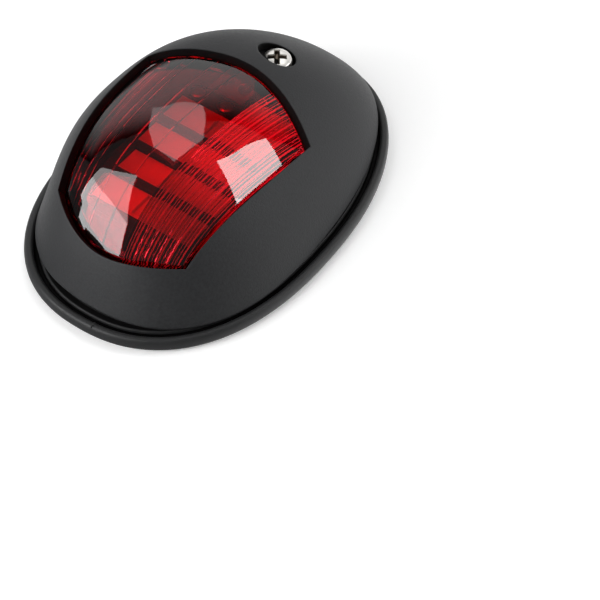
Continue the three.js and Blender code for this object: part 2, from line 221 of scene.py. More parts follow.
def dome_unit(x, y, lift, inset):
    """Plan position on the footprint's own scale, with the lean and the taper taken out."""
    lean = lift ** LEAN_POWER
    u = (x - DOME_X - DOME_LEAN[0] * lean) / (DOME_A - inset)
    v = (y - DOME_LEAN[1] * lean) / ((DOME_B - inset) * (1 + DOME_SKEW * u))
    return u, v


def dome_reach(x, y, lift, inset):
    u, v = dome_unit(x, y, lift, inset)
    return (np.abs(u) ** DOME_POWER + np.abs(v) ** DOME_POWER) ** (1 / DOME_POWER)


def dome_level(p, inset):
    """Below 0 inside the dome, above 0 outside."""
    lift = np.maximum((p[..., 2] - DOME_Z) / (DOME_RISE - inset), 0)
    return dome_reach(p[..., 0], p[..., 1], lift, inset) ** SECTION_POWER + lift ** CREST_POWER - 1


def dome_height(x, y):
    """Height of the outer dome above a plan position."""
    lift = np.full(np.shape(x), 0.8)
    for _ in range(90):
        rest = 1 - np.minimum(dome_reach(x, y, lift, 0.0), 1) ** SECTION_POWER
        lift = 0.5 * lift + 0.5 * np.maximum(rest, 0) ** (1 / CREST_POWER)
    return DOME_Z + DOME_RISE * lift


def dome_point(angle, reach, inset):
    lift = np.maximum(1 - reach ** SECTION_POWER, 0) ** (1 / CREST_POWER)
    lean = lift ** LEAN_POWER
    x, y = egg_point(DOME_A - inset, DOME_B - inset, DOME_POWER, DOME_SKEW, angle, reach)
    return np.stack([x + DOME_X + DOME_LEAN[0] * lean, y + DOME_LEAN[1] * lean,
                     DOME_Z + (DOME_RISE - inset) * lift], -1)


def dome_address(p, inset):
    """Angle and reach of points on that dome."""
    lift = np.maximum((p[..., 2] - DOME_Z) / (DOME_RISE - inset), 0)
    u, v = dome_unit(p[..., 0], p[..., 1], lift, inset)
    return np.arctan2(v, u), (np.abs(u) ** DOME_POWER + np.abs(v) ** DOME_POWER) ** (1 / DOME_POWER)


def drop(points, inset):
    """Moves points on the outer dome towards the window's cutting centre, onto an inner dome."""
    low, high = np.full(points.shape[:-1], 0.5), np.full(points.shape[:-1], 1.0)
    for _ in range(46):
        mid = (low + high) / 2
        outside = dome_level(CUT_CENTRE + (points - CUT_CENTRE) * mid[..., None], inset) > 0
        high = np.where(outside, mid, high)
        low = np.where(outside, low, mid)
    return CUT_CENTRE + (points - CUT_CENTRE) * low[..., None]


def side_edge(x, margin):
    u = x / 20
    return WINDOW_HALF + 0.08 * u - 0.82 * u * u + margin


def right_edge(y, margin):
    v = y / 20
    return WINDOW_RIGHT - 4.64 * v - 9.77 * v ** 2 + 1.04 * v ** 4 + margin


def left_edge(y, margin):
    v = y / 20
    return WINDOW_LEFT - 0.7 * v + 9.33 * v ** 2 + 2.66 * v ** 4 - margin * 0.8


def corner_where(edge, side, margin):
    y = side * WINDOW_HALF
    for _ in range(60):
        y = 0.5 * y + 0.5 * side * side_edge(edge(y, margin), margin)
    return np.array([edge(y, margin), y])


def window_outline(margin, count):
    """Plan outline, anticlockwise from the lower right corner, count points to each of its four edges."""
    corners = [corner_where(right_edge, -1, margin), corner_where(right_edge, 1, margin),
               corner_where(left_edge, 1, margin), corner_where(left_edge, -1, margin)]
    t = (np.arange(count) / count)[:, None]
    sides = [a + (b - a) * t for a, b in zip(corners, corners[1:] + corners[:1])]
    y0, x1, y2, x3 = sides[0][:, 1], sides[1][:, 0], sides[2][:, 1], sides[3][:, 0]
    outline = np.concatenate([
        np.stack([right_edge(y0, margin), y0], -1), np.stack([x1, side_edge(x1, margin)], -1),
        np.stack([left_edge(y2, margin), y2], -1), np.stack([x3, -side_edge(x3, margin)], -1)])
    return outline + np.array([0.0, WINDOW_Y])


def lines_down(edge_points, inset, distances_from):
    """Points on the dome below each edge point, down to the foot, at chosen distances along the surface."""
    angle, reach = dome_address(edge_points, inset)
    fine = np.linspace(0, 1, 400)
    top = np.arccos(np.clip(reach, 0, 1) ** (SECTION_POWER / 2))
    theta = top[:, None] * (1 - fine)[None, :]
    pts = dome_point(angle[:, None], np.cos(theta) ** (2 / SECTION_POWER), inset)
    step = np.linalg.norm(np.diff(pts, axis=1), axis=-1)
    run = np.concatenate([np.zeros((len(pts), 1)), np.cumsum(step, 1)], 1)
    rows = []
    for k in range(len(pts)):
        d = distances_from(run[k, -1])
        th = np.interp(d, run[k], theta[k])
        rows.append(dome_point(np.full(len(d), angle[k]), np.cos(th) ** (2 / SECTION_POWER), inset))
    return np.array(rows)


# ---------------------------------------------------------------- cover

EDGE_R = 0.32      # rounding of the window's edge
FOOT_R = 0.28      # rounding of the foot
RECESS_EDGE_R = 0.42
BORE_R = 1.85      # clearance hole for the screw
POCKET_R, POCKET_DEPTH = 3.3, 1.8      # pocket for the retainer under the boss


def cover_distances(total):
    inner = np.linspace(0, 1, 46) * (total - EDGE_R - FOOT_R - 0.5) + EDGE_R + 0.25
    return np.concatenate([[EDGE_R], inner, [total - FOOT_R]])


def inner_distances(total):
    return np.linspace(0, 1, 22) * (total - 0.6) + 0.3


def make_cover():
    # faces of kind 1 take the near-black finish: painted shade on the window wall, the recess, the inside,
    # the foot's inner edge and the hook
    s = Surface()
    outline = window_outline(0, 76)
    count = len(outline)
    edge = np.concatenate([outline, dome_height(outline[:, 0], outline[:, 1])[:, None]], 1)
    grid = lines_down(edge, 0.0, cover_distances)
    rows = grid.shape[1]
    rings = [s.ring(grid[:, i]) for i in range(rows)]

    # the patch round the screw recess is meshed as rings instead
    centre = np.array([SCREW_X, 0.0])
    near = np.linalg.norm(grid[:, :, :2] - centre, axis=-1) < RECESS_R + 1.3
    ks, js = np.where(near.any(1))[0], np.where(near.any(0))[0]
    k0, k1, j0, j1 = ks.min() - 1, ks.max() + 1, js.min() - 1, js.max() + 1
    for j in range(rows - 1):
        for k in range(count):
            n = (k + 1) % count
            if not (j0 <= j < j1 and k0 <= k < k1):
                s.face((rings[j][k], rings[j][n], rings[j + 1][n], rings[j + 1][k]))
    loop = [(k, j0) for k in range(k0, k1)] + [(k1, j) for j in range(j0, j1)]
    loop += [(k, j1) for k in range(k1, k0, -1)] + [(k0, j) for j in range(j1, j0, -1)]
    outer = [rings[j][k] for k, j in loop]
    flat = np.array([grid[k, j, :2] for k, j in loop]) - centre
    turn = np.arctan2(flat[:, 1], flat[:, 0])
    unit = np.stack([np.cos(turn), np.sin(turn)], -1)

    def on_dome(plan):
        return np.concatenate([plan, dome_height(plan[:, 0], plan[:, 1])[:, None]], 1)

    prev = outer
    for t in (0.2, 0.4, 0.6, 0.8, 0.93, 1.0):
        plan = centre + flat * (1 - t) + unit * (RECESS_R + RECESS_EDGE_R) * t
        ring = s.ring(on_dome(plan))
        s.strip(prev, ring)
        prev = ring
    start = on_dome(centre + unit * (RECESS_R + RECESS_EDGE_R))
    corner = on_dome(centre + unit * RECESS_R)
    end = corner - np.array([0, 0, RECESS_EDGE_R])
    for i in range(1, 6):
        ring = s.ring(bezier(start, corner, end, i / 5))
        s.strip(prev, ring, kind=0 if i < 4 else 1)
        prev = ring

    def circle(radius, z):
        return [(SCREW_X + radius * c, radius * d, z) for c, d in unit]

    well = [(RECESS_R, SEAT_Z + 1.6), (RECESS_R, SEAT_Z + 0.35), (RECESS_R - 0.1, SEAT_Z + 0.1),
            (RECESS_R - 0.35, SEAT_Z), (BORE_R + 0.25, SEAT_Z), (BORE_R, SEAT_Z - 0.2),
            (BORE_R, BOSS_BOTTOM + POCKET_DEPTH), (POCKET_R, BOSS_BOTTOM + POCKET_DEPTH),
            (POCKET_R, BOSS_BOTTOM + 0.15), (POCKET_R + 0.15, BOSS_BOTTOM), (BOSS_R - 0.3, BOSS_BOTTOM),
            (BOSS_R, BOSS_BOTTOM + 0.3)]
    for radius, z in well:
        ring = s.ring(circle(radius, z))
        s.strip(prev, ring, kind=1)
        prev = ring
    under = on_dome(centre + unit * BOSS_R)
    ring = s.ring(under - np.array([0, 0, 1.0]))
    s.strip(prev, ring, kind=1)

    # window wall, from the outer edge to the inner one, with both edges rounded
    inner_edge = drop(edge, COVER_WALL)
    inner_grid = lines_down(inner_edge, COVER_WALL, inner_distances)
    inward = inner_edge - edge
    depth = np.linalg.norm(inward, axis=1, keepdims=True)
    inward = inward / depth
    prev = rings[0]
    for i in range(1, 6):
        ring = s.ring(bezier(grid[:, 0], edge, edge + inward * EDGE_R, i / 5))
        s.strip(prev, ring, kind=0 if i < 4 else 1)
        prev = ring
    for t in (0.3, 0.6, 0.85):
        ring = s.ring(edge + inward * np.maximum(EDGE_R + 0.1, t * depth))
        s.strip(prev, ring, kind=1)
        prev = ring
    for i in range(1, 4):
        ring = s.ring(bezier(edge + inward * 0.88 * depth, inner_edge, inner_grid[:, 0], i / 3))
        s.strip(prev, ring, kind=1)
        prev = ring
    for i in range(1, inner_grid.shape[1]):
        ring = s.ring(inner_grid[:, i])
        s.strip(prev, ring, kind=1)
        prev = ring
    # foot: inner edge, flat underside, rounded outer edge
    angle, _ = dome_address(edge, 0.0)
    foot_out = dome_point(angle, np.ones(count), 0.0)
    inner_angle, _ = dome_address(inner_edge, COVER_WALL)
    foot_in = dome_point(inner_angle, np.ones(count), COVER_WALL)
    across = foot_in - foot_out
    across = across / np.linalg.norm(across, axis=1, keepdims=True)
    ring = s.ring(foot_in)
    s.strip(prev, ring, kind=1)
    prev = ring
    for i in range(5):
        ring = s.ring(bezier(foot_out + across * FOOT_R, foot_out, grid[:, -1], i / 5))
        s.strip(prev, ring, kind=0 if i > 1 else 1)
        prev = ring
    s.strip(prev, rings[-1])
    block(s, (-38.5, -4, 4.5), (-36.4, 4, 5.4), 0.25, kind=1)
    return s.build("cover_shell", 30)


# ---------------------------------------------------------------- lens

FLUTE_PITCH = 1.8
FLUTE_DEPTH = 0.46
FLUTE_FROM = -3.8
STEP_AT = 0.87     # where in its pitch a flute steps back
RIBS = ((0.30, 0.06), (0.58, 0.07))      # fine ribs on each flute: place in the pitch, height
RISERS = ((0.28, 0.34), (0.56, 0.63), (0.84, 1.0))      # the parts of each pitch that take the red riser finish with its painted glow
SPARSE_LINES = ((2.2, 0.10), (6.4, 0.08), (9.9, 0.12), (11.2, 0.08), (13.0, 0.10), (14.1, 0.07),
                (15.2, 0.10), (16.6, 0.09), (18.2, 0.10))      # on the plain half: y, width
PAD_RISE = 0.9
PAD_CLEARANCE, PAD_STEP = 0.3, 0.3


def flute_edge(x):
    """The flutes start along a line that drifts across the lens."""
    return FLUTE_FROM - 0.035 * (x + 4)


def flute_offset(x, y):
    """How far the inside of the lens stands in from its plain surface.

    It is stepped on the fluted half and has sparse lines on the plain half.
    """
    along = (flute_edge(x) - y) / FLUTE_PITCH
    part = along % 1.0
    slope = np.minimum(part / STEP_AT, (1 - part) / (1 - STEP_AT))
    rib = sum(height * np.exp(-((part - at) / 0.03) ** 2) for at, height in RIBS)
    step = (FLUTE_DEPTH * slope + rib) * np.clip(along / 0.04, 0, 1)
    fine = 0.0
    for at, width in SPARSE_LINES:
        fine = fine + 0.09 * np.exp(-((y - at) / width) ** 2)
    return step + fine


def pad_rise(x, y):
    """The lens stands up into the window, with a step just clear of the window's edge."""
    inside = np.minimum(right_edge(y, 0) - x, x - left_edge(y, 0))
    inside = np.minimum(inside, side_edge(x, 0) - np.abs(y))
    t = np.clip((inside - PAD_CLEARANCE) / PAD_STEP, 0, 1)
    return PAD_RISE * t * t * (3 - 2 * t)


def make_lens():
    s = Surface()
    xs = np.linspace(left_edge(0.0, LENS_MARGIN) - 0.5, right_edge(0.0, LENS_MARGIN) + 1.0, 900)
    peak = float(side_edge(xs, LENS_MARGIN).max()) - 0.01
    ys = np.linspace(-peak, peak, 760)
    cols = 96
    rows = []
    for y in ys:
        inside = xs[side_edge(xs, LENS_MARGIN) >= abs(y)]
        left = max(left_edge(y, LENS_MARGIN), inside.min())
        right = min(right_edge(y, LENS_MARGIN), inside.max())
        t = 0.5 - 0.5 * np.cos(np.linspace(0, math.pi, cols))
        rows.append(np.stack([left + (right - left) * t, np.full(cols, y + WINDOW_Y)], -1))
    plan = np.array(rows)
    top = np.concatenate([plan, dome_height(plan[..., 0], plan[..., 1])[..., None]], -1)
    outer = drop(top, COVER_WALL + LENS_GAP - pad_rise(plan[..., 0], plan[..., 1] - WINDOW_Y))
    inner = drop(top, COVER_WALL + LENS_GAP + LENS_WALL)
    inward = CUT_CENTRE - inner
    inward = inward / np.linalg.norm(inward, axis=-1, keepdims=True)
    inner = inner + inward * flute_offset(inner[..., 0], inner[..., 1])[..., None]
    n = len(ys)
    a = [s.ring(outer[i]) for i in range(n)]
    b = [s.ring(inner[i]) for i in range(n)]
    for i in range(n - 1):
        for k in range(cols - 1):
            s.face((a[i][k], a[i][k + 1], a[i + 1][k + 1], a[i + 1][k]))
            middle = (plan[i, k] + plan[i + 1, k + 1]) / 2
            along = (flute_edge(middle[0]) - middle[1]) / FLUTE_PITCH
            kind = 0
            if along > 0:
                kind = 1 if any(start < along % 1.0 < end for start, end in RISERS) else 2
            s.face((b[i][k], b[i + 1][k], b[i + 1][k + 1], b[i][k + 1]), kind)
        s.face((a[i][0], a[i + 1][0], b[i + 1][0], b[i][0]))
        s.face((a[i][-1], b[i][-1], b[i + 1][-1], a[i + 1][-1]))
    for k in range(cols - 1):
        s.face((a[0][k], b[0][k], b[0][k + 1], a[0][k + 1]))
        s.face((a[-1][k], a[-1][k + 1], b[-1][k + 1], b[-1][k]))
    return s.build("lens_moulding", 24, closed=True)


# ---------------------------------------------------------------- base plate

RING_COUNT = 288     # points round the base


def base_ring(inset, z):
    angle = np.linspace(0, 2 * math.pi, RING_COUNT, endpoint=False)
    x, y = egg_point(BASE_A - inset, BASE_B - inset, BASE_POWER, BASE_SKEW, angle)
    return np.stack([x, y, np.full(RING_COUNT, z)], -1)


def foot_ring(inset_x, inset_y, z):
    angle = np.linspace(0, 2 * math.pi, RING_COUNT, endpoint=False)
    x, y = egg_point(DOME_A - inset_x, DOME_B - inset_y, DOME_POWER, DOME_SKEW, angle)
    return np.stack([x + DOME_X, y, np.full(RING_COUNT, z)], -1)


def make_base():
    s = Surface()
    # how far in from the rim, and height: the bead, the groove, then the deck
    bead = [(1.15, 0.0), (0.45, 0.02), (0.0, 0.7), (0.0, 2.0), (0.35, 2.8), (0.95, 2.95), (1.55, 2.8),
            (1.9, 2.2), (1.95, 1.5), (2.2, 1.35), (2.65, 1.35), (2.85, 1.6), (2.87, 2.45), (3.05, 2.62),
            (3.4, 2.6), (4.4, 2.6)]
    section = rounded_profile(bead, 3)
    rings = [s.ring(base_ring(d, z)) for d, z in section]
    for i in range(len(rings) - 1):
        inset = (section[i][0] + section[i + 1][0]) / 2
        # the groove and the deck take the near-black finish: painted shade under the cover's foot
        in_shaded_channel = 1.85 < inset < 2.86 or inset > 3.25
        s.strip(rings[i], rings[i + 1], kind=1 if in_shaded_channel else 0)
    s.face(rings[-1])
    recess = [base_ring(3.2, z) for z in (0.0, 1.2)]
    low, high = s.ring(recess[0]), s.ring(recess[1])
    s.strip(rings[0], low)
    s.strip(low, high)
    s.face(tuple(reversed(high)))
    base = s.build("base_moulding", 30, closed=True)
    base.data.materials.append(RIM_PLASTIC)
    base.data.materials.append(SHADE_BLACK)
    cutters = []
    holes = [(x, 0, MOUNT_HOLE_R, -1.0) for x in MOUNT_HOLES]
    holes += [(*INLET, INLET_R, -1.0), (SCREW_X, 0, INSERT_BORE_R, POST_BORE)]
    for x, y, r, low in holes:
        c = Surface()
        turned(c, x, y, [(0, low), (r, low), (r, 12), (0, 12)], 64, 0.01)
        cutters.append(c.build("cutter", closed=True))
    extra = Surface()
    turned(extra, SCREW_X, 0, [(0, 1.8), (POST_R, 1.8), (POST_R, POST_TOP), (0, POST_TOP)], 72, 0.3)
    for x in MOUNT_HOLES:
        turned(extra, x, 0, [(0, 1.8), (3.4, 1.8), (3.4, 3.4), (0, 3.4)], 72, 0.25)
    block(extra, (-37.6, -6, 2.2), (-34.2, 6, 3.9), 0.3)
    block(extra, (-37.6, -6, 6.9), (-34.2, 6, 7.9), 0.3)
    block(extra, (-37.6, -6, 3.6), (-34.2, -4.6, 7.4), 0.3)
    block(extra, (-37.6, 4.6, 3.6), (-34.2, 6, 7.4), 0.3)
    block(extra, (-43.75, -3.25, 1.6), (-42.3, -2.95, 3.0), 0.1)
    add = extra.build("extra", closed=True)
    cut_with(base, [add], "UNION")
    cut_with(base, cutters)
    # lip inside the cover
    lip = Surface()
    section = filleted([(2.75, 3.05, 2.3), (3.3, 3.5, 6.0), (5.3, 4.4, 6.0), (5.3, 4.4, 2.3)], 0.35)
    lip_rings = [lip.ring(foot_ring(dx, dy, z)) for dx, dy, z in section]
    for a, b in zip(lip_rings[:-1], lip_rings[1:]):
        lip.strip(a, b)
    lip_obj = lip.build("lip", 30)
    lip_obj.data.materials.append(RIM_PLASTIC)
    join([base, lip_obj])
    finish_mesh(base, 30, closed=False)
    return base


def join(objs):
    first = objs[0]
    with bpy.context.temp_override(active_object=first, selected_editable_objects=objs,
                                   selected_objects=objs):
        bpy.ops.object.join()
    return first


# ---------------------------------------------------------------- screws

def cross_depth(x, y, arm, half, depth, soft):
    """Depth of a cross recess at (x, y): full within the arms, easing out over soft."""
    ax, ay = np.abs(x), np.abs(y)
    out = np.minimum(np.maximum(ax - arm, ay - half), np.maximum(ay - arm, ax - half))
    return depth * np.clip(0.5 - out / soft, 0, 1)


CROSS_TURN = 37      # degrees the screw's cross is turned by
THREAD_PITCH, THREAD_DEPTH, THREAD_TOP = 0.7, 0.26, 14.0


def make_cover_screw():
    s = Surface()
    count = 192
    angles = np.linspace(0, 2 * math.pi, count, endpoint=False)
    radii = np.concatenate([np.linspace(0.04, 2.2, 60), np.linspace(2.25, HEAD_R - 0.02, 16)])
    prev = None
    for r in radii:
        t = r / HEAD_R
        x, y = r * np.cos(angles), r * np.sin(angles)
        top = HEAD_TOP - 0.85 * t ** 3.4 - 0.55 * np.clip((t - 0.9) / 0.1, 0, 1) ** 2
        turn = math.radians(CROSS_TURN)
        cx, cy = x * math.cos(turn) + y * math.sin(turn), -x * math.sin(turn) + y * math.cos(turn)
        taper = np.clip(np.hypot(x, y) / 1.9, 0, 1)
        dip = cross_depth(cx, cy, 1.85, 0.42, 1.5, 0.34) * (1 - 0.35 * taper)
        ring = s.ring(np.stack([SCREW_X + x, y, top - dip], -1))
        if prev is None:
            s.face(tuple(ring), 1)
        else:
            for j in range(count):
                k = (j + 1) % count
                # deep parts of the cross take the darker steel: painted shade
                s.face((prev[j], prev[k], ring[k], ring[j]), 1 if dip[j] > 0.3 else 0)
        prev = ring
    side = [(HEAD_R, HEAD_TOP - 1.55), (HEAD_R, HEAD_BOTTOM + 0.35), (HEAD_R - 0.1, HEAD_BOTTOM + 0.1),
            (HEAD_R - 0.35, HEAD_BOTTOM), (SHANK_R + 0.3, HEAD_BOTTOM), (SHANK_R, HEAD_BOTTOM - 0.3)]
    for r, z in side:
        ring = s.ring([(SCREW_X + r * math.cos(a), r * math.sin(a), z) for a in angles])
        s.strip(prev, ring)
        prev = ring
    top_z = HEAD_BOTTOM - 0.8
    for z in np.arange(top_z, SCREW_TIP + 0.5, -0.07):
        phase = (z / THREAD_PITCH - angles / (2 * math.pi)) % 1.0
        ease = min(1.0, (top_z - z) / 0.8)
        r = SHANK_R - ease * THREAD_DEPTH * (1 - np.abs(phase - 0.5) * 2)
        if z > THREAD_TOP:
            r = np.full(count, SHANK_R - 0.12)
        ring = s.ring(np.stack([SCREW_X + r * np.cos(angles), r * np.sin(angles), np.full(count, z)], -1))
        s.strip(prev, ring)
        prev = ring
    tip_r = SHANK_R * 0.72
    ring = s.ring([(SCREW_X + tip_r * math.cos(a), tip_r * math.sin(a), SCREW_TIP) for a in angles])
    s.strip(prev, ring)
    s.fan(ring, (SCREW_X, 0, SCREW_TIP))
    return s.build("cover_screw_steel", 34)


# ---------------------------------------------------------------- materials

def material(name, colour, roughness, spread=0.12, grain=900.0, bump=0.0, bump_scale=3000.0,
             metallic=0.0, rough_spread=0.08, specular=0.5):
    """A plain finish with colour, roughness and relief that vary a little over the surface."""
    mat = bpy.data.materials.new(name)
    mat.use_nodes = True
    nt = mat.node_tree
    bsdf = nt.nodes["Principled BSDF"]
    coords = nt.nodes.new("ShaderNodeTexCoord")
    noise = nt.nodes.new("ShaderNodeTexNoise")
    noise.inputs["Scale"].default_value = grain
    noise.inputs["Detail"].default_value = 4
    nt.links.new(coords.outputs["Object"], noise.inputs["Vector"])
    ramp = nt.nodes.new("ShaderNodeValToRGB")
    c = np.array(colour, float)
    ramp.color_ramp.elements[0].position, ramp.color_ramp.elements[1].position = 0.3, 0.7
    ramp.color_ramp.elements[0].color = (*np.clip(c * (1 - spread), 0, 1), 1)
    ramp.color_ramp.elements[1].color = (*np.clip(c * (1 + spread), 0, 1), 1)
    nt.links.new(noise.outputs["Fac"], ramp.inputs["Fac"])
    nt.links.new(ramp.outputs["Color"], bsdf.inputs["Base Color"])
    remap = nt.nodes.new("ShaderNodeMapRange")
    remap.inputs["From Min"].default_value, remap.inputs["From Max"].default_value = 0.3, 0.7
    remap.inputs["To Min"].default_value = max(0.02, roughness - rough_spread)
    remap.inputs["To Max"].default_value = min(1.0, roughness + rough_spread)
    nt.links.new(noise.outputs["Fac"], remap.inputs["Value"])
    nt.links.new(remap.outputs["Result"], bsdf.inputs["Roughness"])
    bsdf.inputs["Metallic"].default_value = metallic
    bsdf.inputs["Specular IOR Level"].default_value = specular
    if bump:
        fine = nt.nodes.new("ShaderNodeTexNoise")
        fine.inputs["Scale"].default_value = bump_scale
        fine.inputs["Detail"].default_value = 3
        nt.links.new(coords.outputs["Object"], fine.inputs["Vector"])
        relief = nt.nodes.new("ShaderNodeBump")
        relief.inputs["Strength"].default_value = bump
        relief.inputs["Distance"].default_value = 0.00008
        nt.links.new(fine.outputs["Fac"], relief.inputs["Height"])
        nt.links.new(relief.outputs["Normal"], bsdf.inputs["Normal"])
    return mat


def lens_material(name, deep, pale, shadow_tint, painted_shade_darkens=False):
    """Clear red plastic; its tint varies slightly with the flow of the moulding. Optionally it also carries
    painted shade, darker towards the window end and the near edge.
    """
    mat = bpy.data.materials.new(name)
    mat.use_nodes = True
    nt = mat.node_tree
    bsdf, out = nt.nodes["Principled BSDF"], nt.nodes["Material Output"]
    coords = nt.nodes.new("ShaderNodeTexCoord")
    noise = nt.nodes.new("ShaderNodeTexNoise")
    noise.inputs["Scale"].default_value = 60
    nt.links.new(coords.outputs["Object"], noise.inputs["Vector"])
    ramp = nt.nodes.new("ShaderNodeValToRGB")
    ramp.color_ramp.elements[0].position, ramp.color_ramp.elements[1].position = 0.3, 0.7
    ramp.color_ramp.elements[0].color = (*deep, 1)
    ramp.color_ramp.elements[1].color = (*pale, 1)
    nt.links.new(noise.outputs["Fac"], ramp.inputs["Fac"])
    nt.links.new(ramp.outputs["Color"], bsdf.inputs["Base Color"])
    if painted_shade_darkens:
        # painted shade: the tint is darker towards the window end and the near edge; the plastic is no
        # thicker there
        split = nt.nodes.new("ShaderNodeSeparateXYZ")
        nt.links.new(coords.outputs["Object"], split.inputs["Vector"])
        factors = []
        for axis, start, end, least in (("X", -0.020, -0.008, 0.14), ("Y", -0.016, -0.007, 0.6)):
            part = nt.nodes.new("ShaderNodeMapRange")
            part.inputs["From Min"].default_value, part.inputs["From Max"].default_value = start, end
            part.inputs["To Min"].default_value, part.inputs["To Max"].default_value = least, 1.0
            nt.links.new(split.outputs[axis], part.inputs["Value"])
            factors.append(part.outputs["Result"])
        both = nt.nodes.new("ShaderNodeMath")
        both.operation = "MULTIPLY"
        nt.links.new(factors[0], both.inputs[0])
        nt.links.new(factors[1], both.inputs[1])
        scaled = nt.nodes.new("ShaderNodeVectorMath")
        scaled.operation = "SCALE"
        nt.links.new(ramp.outputs["Color"], scaled.inputs[0])
        nt.links.new(both.outputs["Value"], scaled.inputs["Scale"])
        nt.links.new(scaled.outputs["Vector"], bsdf.inputs["Base Color"])
    bsdf.inputs["Roughness"].default_value = 0.02
    bsdf.inputs["IOR"].default_value = 1.58
    bsdf.inputs["Transmission Weight"].default_value = 1.0
    path = nt.nodes.new("ShaderNodeLightPath")
    clear = nt.nodes.new("ShaderNodeBsdfTransparent")
    clear.inputs["Color"].default_value = (*shadow_tint, 1)
    mix = nt.nodes.new("ShaderNodeMixShader")
    nt.links.new(path.outputs["Is Shadow Ray"], mix.inputs["Fac"])
    nt.links.new(bsdf.outputs["BSDF"], mix.inputs[1])
    nt.links.new(clear.outputs["BSDF"], mix.inputs[2])
    nt.links.new(mix.outputs["Shader"], out.inputs["Surface"])
    return mat


def painted_flute_glow(mat):
    """A weak red painted glow, stronger towards the screw end; the flutes are no lamp. It stands for light
    carried inside the flutes.
    """
    nt = mat.node_tree
    bsdf = nt.nodes["Principled BSDF"]
    coords = nt.nodes.new("ShaderNodeTexCoord")
    split = nt.nodes.new("ShaderNodeSeparateXYZ")
    nt.links.new(coords.outputs["Object"], split.inputs["Vector"])
    along = nt.nodes.new("ShaderNodeMapRange")
    along.inputs["From Min"].default_value, along.inputs["From Max"].default_value = -0.018, -0.006
    along.inputs["To Min"].default_value, along.inputs["To Max"].default_value = 0.01, 0.6
    nt.links.new(split.outputs["X"], along.inputs["Value"])
    nt.links.new(along.outputs["Result"], bsdf.inputs["Emission Strength"])
    bsdf.inputs["Emission Color"].default_value = (0.9, 0.04, 0.08, 1)


CHARCOAL = material("charcoal_plastic", (0.022, 0.0225, 0.024), 0.58, 0.2, 1700, 0.8, 2600,
                    rough_spread=0.06, specular=0.3)
RIM_PLASTIC = material("rim_plastic", (0.019, 0.0193, 0.020), 0.50, 0.12, 1400, 0.35, 2600,
                       rough_spread=0.06, specular=0.35)
# a near-black copy of the plastics for the cover's window wall, its inside, the screw recess and the base's
# groove and deck: painted shade
SHADE_BLACK = material("painted_shade_black", (0.0035, 0.0032, 0.0034), 0.6, 0.15, 700, 0.1, 1500, specular=0.07)
RED_LENS = lens_material("red_lens", (0.80, 0.018, 0.034), (0.88, 0.025, 0.045), (0.95, 0.07, 0.10))
# the fluted flats carry painted shade, darker towards the window end and the near edge
FLUTE_CLEAR = lens_material("flute_flats", (0.80, 0.020, 0.038), (0.88, 0.028, 0.050), (0.95, 0.07, 0.10),
                            painted_shade_darkens=True)
FLUTE_RED = material("flute_risers", (0.42, 0.018, 0.034), 0.45, 0.2, 500, 0.2, 1800)
# the riser faces carry a painted glow
painted_flute_glow(FLUTE_RED)
STEEL = material("stainless_steel", (0.80, 0.78, 0.74), 0.36, 0.05, 1200, 0.1, 5000, metallic=1.0,
                 rough_spread=0.06)
# a darker copy of the steel for the screw's cross recess: painted shade
STEEL_RECESS_SHADE = material("recess_steel_shade", (0.17, 0.14, 0.11), 0.42, 0.25, 1800, 0.3, 5000, metallic=1.0)
BRASS = material("brass", (0.60, 0.42, 0.16), 0.28, 0.08, 900, 0.1, 4000, metallic=1.0)
RUBBER = material("seal_rubber", (0.012, 0.012, 0.013), 0.75, 0.15, 1500, 0.3, 3000)
FOAM = material("foam_rubber", (0.015, 0.015, 0.016), 0.9, 0.3, 1500, 1.0, 1500)
INNER_BLACK = material("inner_black", (0.010, 0.010, 0.011), 0.5, 0.2, 900, 0.2, 2500)
WHITE_TRAY = material("reflector_white", (0.90, 0.89, 0.86), 0.35, 0.02, 500, 0.1, 2500)
BOARD_GREEN = material("board_green", (0.02, 0.10, 0.045), 0.38, 0.2, 250, 0.2, 1500)
LED_WHITE = material("led_white", (0.78, 0.77, 0.72), 0.4, 0.03, 1500, 0.05, 4000)
LED_YELLOW = material("led_phosphor", (0.85, 0.62, 0.10), 0.35, 0.06, 2500, 0.1, 5000)
COMPONENT = material("component_black", (0.013, 0.013, 0.014), 0.45, 0.2, 2000, 0.2, 5000)
TERMINAL = material("terminal_plastic", (0.62, 0.60, 0.54), 0.5, 0.04, 700, 0.2, 3000)
WIRE_RED = material("wire_red", (0.42, 0.02, 0.02), 0.42, 0.1, 900, 0.1, 3000)
WIRE_BLACK = material("wire_black", (0.012, 0.012, 0.012), 0.42, 0.15, 900, 0.1, 3000)
NYLON = material("retainer_nylon", (0.70, 0.67, 0.60), 0.45, 0.04, 900, 0.1, 3000)

SLOT_FINISH = {
    "housing_plastic": RIM_PLASTIC, "cover_plastic": CHARCOAL, "lens_red": RED_LENS, "seal_rubber": RUBBER,
    "foam_rubber": FOAM, "brass": BRASS, "stainless": STEEL, "inner_black": INNER_BLACK, "board": BOARD_GREEN,
    "reflector_white": WHITE_TRAY, "led_body": LED_WHITE, "component_black": COMPONENT,
    "terminal_plastic": TERMINAL, "wire_red": WIRE_RED, "wire_black": WIRE_BLACK, "retainer_nylon": NYLON,
}


def place(obj, body, slot, materials, *nodes):
    for m in materials:
        obj.data.materials.append(m)
    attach(obj, body)
    if nodes:
        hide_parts(*nodes)
    return obj


SOFTENED = ("terminal_block", "resistor_1", "resistor_2", "diode", "led_board", "led_1", "led_2", "led_3",
            "led_4", "terminal_screw_1", "terminal_screw_2", "board_screw_1", "board_screw_2", "reflector")

